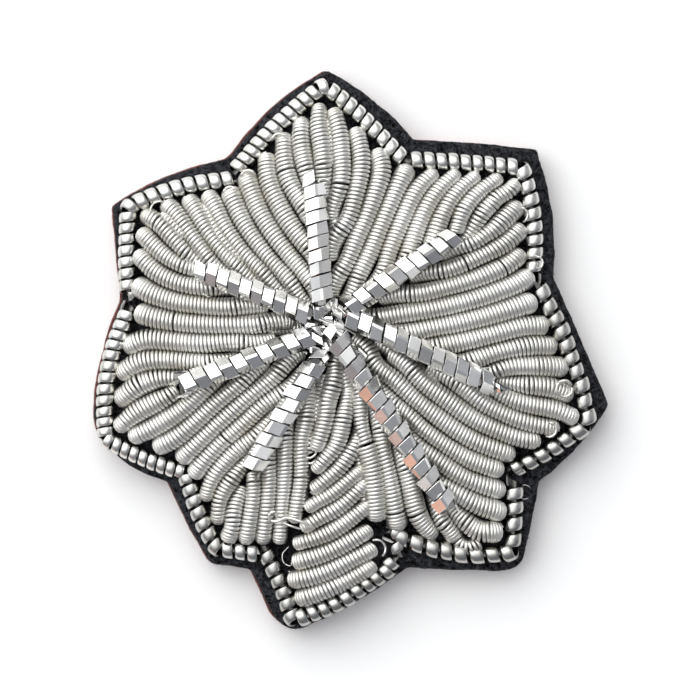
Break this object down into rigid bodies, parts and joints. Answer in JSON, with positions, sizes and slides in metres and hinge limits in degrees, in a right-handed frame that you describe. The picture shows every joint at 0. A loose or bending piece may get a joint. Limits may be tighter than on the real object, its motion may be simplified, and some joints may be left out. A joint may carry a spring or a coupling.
{
  "type": "bullion rank insignia",
  "caption": "Hand-embroidered silver bullion oak leaf with domed lobes of smooth purl, bright check-purl veins and a pearl-purl border on black felt.",
  "frame": {"origin": "on the back face of the backing cloth, straight under the point where the veins meet", "axes": "+Z out of the embroidered face; +Y to the top lobe, -Y to the stem; +X to the wearer's left as seen from the front"},
  "size_m": [0.0304, 0.033, 0.0057],
  "materials": {
    "backing_cloth": "matt reddish-brown cloth",
    "felt": "fuzzy near-black felt",
    "padding": "matt grey felt",
    "pearl_purl": "bright silver-plated half-round wire",
    "smooth_purl": "smooth silver-plated round wire",
    "check_purl": "mirror-bright silver-plated wire"
  },
  "bodies": {
    "root": {"backing_cloth": "backing_cloth", "felt_ground": "felt", "padding": "padding", "border_top": "pearl_purl", "border_upper_right": "pearl_purl", "border_right": "pearl_purl", "border_lower_right": "pearl_purl", "border_stem": "pearl_purl", "border_lower_left": "pearl_purl", "border_left": "pearl_purl", "border_upper_left": "pearl_purl", "fill_top_left": "smooth_purl", "fill_top_right": "smooth_purl", "fill_upper_right_above": "smooth_purl", "fill_upper_right_below": "smooth_purl", "fill_right_above": "smooth_purl", "fill_right_below": "smooth_purl", "fill_lower_right_right": "smooth_purl", "fill_lower_right_left": "smooth_purl", "fill_stem_upper": "smooth_purl", "fill_stem_lower": "smooth_purl", "fill_lower_left_right": "smooth_purl", "fill_lower_left_left": "smooth_purl", "fill_left_below": "smooth_purl", "fill_left_above": "smooth_purl", "fill_upper_left_below": "smooth_purl", "fill_upper_left_above": "smooth_purl", "vein_top": "check_purl", "vein_upper_right": "check_purl", "vein_right": "check_purl", "vein_lower_right": "check_purl", "vein_lower_left": "check_purl", "vein_left": "check_purl", "vein_upper_left": "check_purl"}
  },
  "joints": []
}
